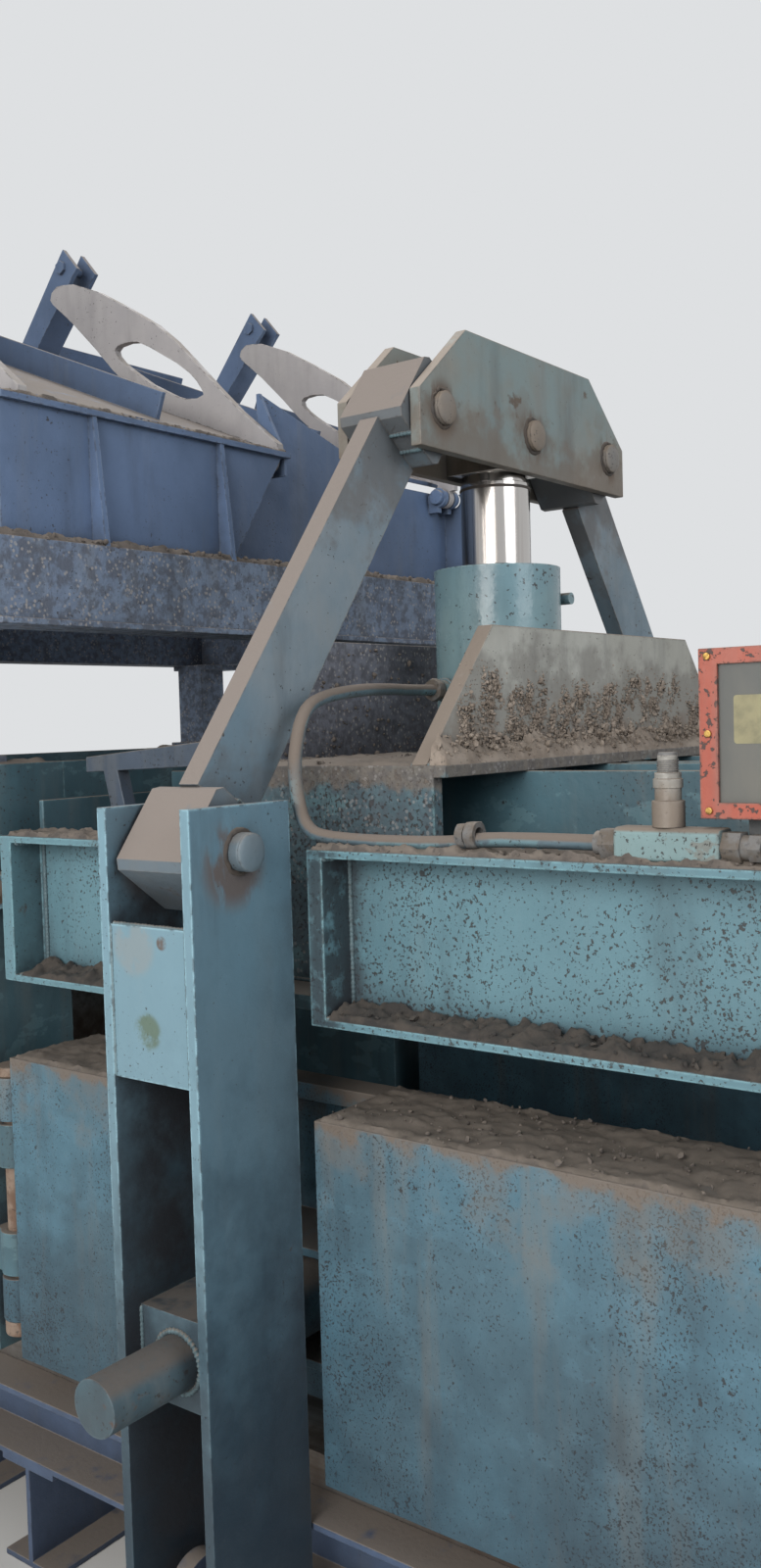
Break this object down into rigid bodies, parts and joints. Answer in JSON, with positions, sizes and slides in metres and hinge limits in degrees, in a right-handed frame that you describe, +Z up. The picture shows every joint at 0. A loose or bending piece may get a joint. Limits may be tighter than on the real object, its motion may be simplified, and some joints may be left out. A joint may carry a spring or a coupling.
{
  "type": "recycling baler",
  "caption": "Horizontal channel baler with feed hopper, main ram and a cylinder-driven crosshead whose struts and side levers squeeze the bale channel.",
  "frame": {"origin": "on the floor under the axis of the tension cylinder", "axes": "+Z up; +Y along the bale channel towards the ram; +X across the channel, in the plane of the tension linkage"},
  "size_m": [2.24, 4.85, 2.851],
  "materials": {
    "paint_teal": "worn gloss paint with grime",
    "paint_light_teal": "worn gloss paint, chipped and streaked",
    "paint_dark": "dark dusty paint",
    "paint_grey_teal": "faded paint with a dust film",
    "worn_steel": "worn bare steel with dirt",
    "bare_steel": "machined steel",
    "rusty_pin": "rusted steel",
    "chrome_rod": "polished hard chrome",
    "box_grey": "grey sheet metal",
    "paint_orange": "worn orange paint",
    "window_grey": "dull grey pane",
    "brass_screw": "dull brass",
    "arm_grey": "grey plate with dust"
  },
  "bodies": {
    "frame": {"base_frame": "paint_dark", "channel_floor": "worn_steel", "chamber_side_left": "paint_teal", "chamber_side_right": "paint_teal", "chamber_front": "paint_teal", "chamber_rear": "paint_teal", "shear_blade": "bare_steel", "guide_rails": "bare_steel", "trough_cover": "paint_teal", "rear_yoke": "paint_dark", "yoke_pin": "rusty_pin", "main_barrel": "paint_teal", "main_gland": "bare_steel", "hopper_ring": "paint_dark", "hopper_hood": "paint_dark", "lid_shaft": "bare_steel", "wall_pins": "rusty_pin", "roof_pins": "rusty_pin", "pivot_pins": "rusty_pin"},
    "roof": {"roof_plate": "paint_teal", "beam_front_left": "paint_light_teal", "beam_front_right": "paint_light_teal", "beam_rear_left": "paint_light_teal", "beam_rear_right": "paint_light_teal", "saddle": "paint_teal", "gusset_front": "paint_grey_teal", "gusset_rear": "paint_grey_teal", "roof_rails": "paint_dark", "tension_barrel": "paint_teal", "tension_gland": "bare_steel", "pressure_pipe": "paint_teal", "tee_block": "paint_light_teal", "pipe_nuts": "rusty_pin", "riser": "chrome_rod", "control_box": "box_grey", "control_frame": "paint_orange", "control_window": "window_grey", "control_screws": "brass_screw"},
    "crosshead": {"head_plate_front": "paint_grey_teal", "head_plate_rear": "paint_grey_teal", "head_pins": "rusty_pin", "tension_rod": "chrome_rod"},
    "strut_l": {"strut_left": "paint_grey_teal"},
    "strut_r": {"strut_right": "paint_grey_teal"},
    "lever_l": {"lever_left": "paint_teal", "lever_pins_left": "rusty_pin", "thrust_bar_left": "rusty_pin"},
    "lever_r": {"lever_right": "paint_teal", "lever_pins_right": "rusty_pin", "thrust_bar_right": "rusty_pin"},
    "wall_l": {"side_wall_left": "paint_light_teal"},
    "wall_r": {"side_wall_right": "paint_light_teal"},
    "ram": {"ram": "worn_steel", "ram_knife": "bare_steel", "ram_shoes": "rusty_pin", "main_rod": "chrome_rod", "ram_pin": "rusty_pin"},
    "lid": {"lid_panel": "paint_dark", "lid_arms": "arm_grey", "lid_links": "paint_dark"}
  },
  "joints": [
    {"name": "roof_tilt", "type": "hinge", "parent": "frame", "child": "roof", "pos_m": [0, 0.665, 1.3], "axis": [1, 0, 0], "range_deg": [-0.705, 0]},
    {"name": "crosshead_slide", "type": "slide", "parent": "roof", "child": "crosshead", "axis": [0, 0, 1], "range_m": [-0.0205, 0]},
    {"name": "strut_left_pivot", "type": "hinge", "parent": "crosshead", "child": "strut_l", "pos_m": [-0.32, 0, 2.157], "axis": [0, 1, 0], "range_deg": [0, 1.25]},
    {"name": "strut_right_pivot", "type": "hinge", "parent": "crosshead", "child": "strut_r", "pos_m": [0.32, 0, 2.157], "axis": [0, 1, 0], "range_deg": [-1.25, 0]},
    {"name": "lever_left_pivot", "type": "hinge", "parent": "frame", "child": "lever_l", "pos_m": [-0.887, 0, 0.25], "axis": [0, 1, 0], "range_deg": [-0.79, 0]},
    {"name": "lever_right_pivot", "type": "hinge", "parent": "frame", "child": "lever_r", "pos_m": [0.887, 0, 0.25], "axis": [0, 1, 0], "range_deg": [0, 0.79]},
    {"name": "wall_left_hinge", "type": "hinge", "parent": "frame", "child": "wall_l", "pos_m": [-0.735, 0.665, 0.7], "axis": [0, 0, 1], "range_deg": [-0.48, 0]},
    {"name": "wall_right_hinge", "type": "hinge", "parent": "frame", "child": "wall_r", "pos_m": [0.735, 0.665, 0.7], "axis": [0, 0, 1], "range_deg": [0, 0.48]},
    {"name": "ram_slide", "type": "slide", "parent": "frame", "child": "ram", "axis": [0, -1, 0], "range_m": [0, 0.95]},
    {"name": "lid_hinge", "type": "hinge", "parent": "frame", "child": "lid", "pos_m": [0, 0.608, 2.205], "axis": [1, 0, 0], "range_deg": [-22.3, 0]}
  ],
  "couplings": [
    {"joint": "crosshead_slide", "follows": "roof_tilt", "m_per_rad": 1.6625},
    {"joint": "strut_left_pivot", "follows": "roof_tilt", "ratio": -1.7599},
    {"joint": "strut_right_pivot", "follows": "roof_tilt", "ratio": 1.7599},
    {"joint": "lever_left_pivot", "follows": "roof_tilt", "ratio": 1.1184},
    {"joint": "lever_right_pivot", "follows": "roof_tilt", "ratio": -1.1184},
    {"joint": "wall_left_hinge", "follows": "roof_tilt", "ratio": 0.6761},
    {"joint": "wall_right_hinge", "follows": "roof_tilt", "ratio": -0.6761}
  ]
}
